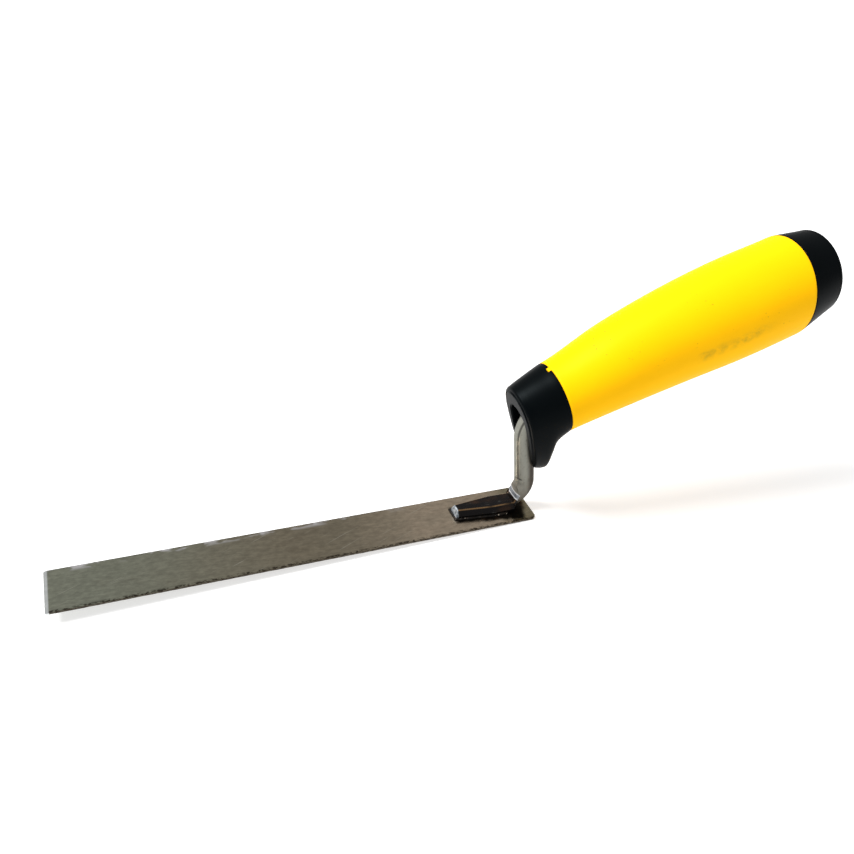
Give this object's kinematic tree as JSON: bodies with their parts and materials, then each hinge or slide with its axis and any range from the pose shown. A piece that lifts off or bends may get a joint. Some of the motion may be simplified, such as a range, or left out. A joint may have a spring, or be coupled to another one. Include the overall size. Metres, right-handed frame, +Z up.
{
  "type": "pointing trowel",
  "caption": "Narrow flat steel blade with a cranked round tang and a two-colour moulded handle with a finger guard.",
  "frame": {"origin": "centre of the blade's flat underside", "axes": "+X from the blade's tip to the handle's butt, +Y across the blade, +Z up from the blade's underside"},
  "size_m": [0.277, 0.0368, 0.1034],
  "materials": {
    "blade_steel": "flat carbon steel, finely brushed along its length, browned near the weld",
    "weld_metal": "dark scaled weld metal",
    "tang_steel": "drawn steel rod, dull, with a faint forging line",
    "black_plastic": "black moulded plastic, satin",
    "core_plastic": "dark moulded plastic, not seen in use",
    "yellow_grip": "yellow moulded plastic, satin, lightly scuffed"
  },
  "bodies": {
    "root": {"blade": "blade_steel", "weld_bead": "weld_metal", "tang": "tang_steel", "front_bolster": "black_plastic", "handle_core": "core_plastic", "grip_sleeve": "yellow_grip", "end_cap": "black_plastic"}
  },
  "joints": []
}
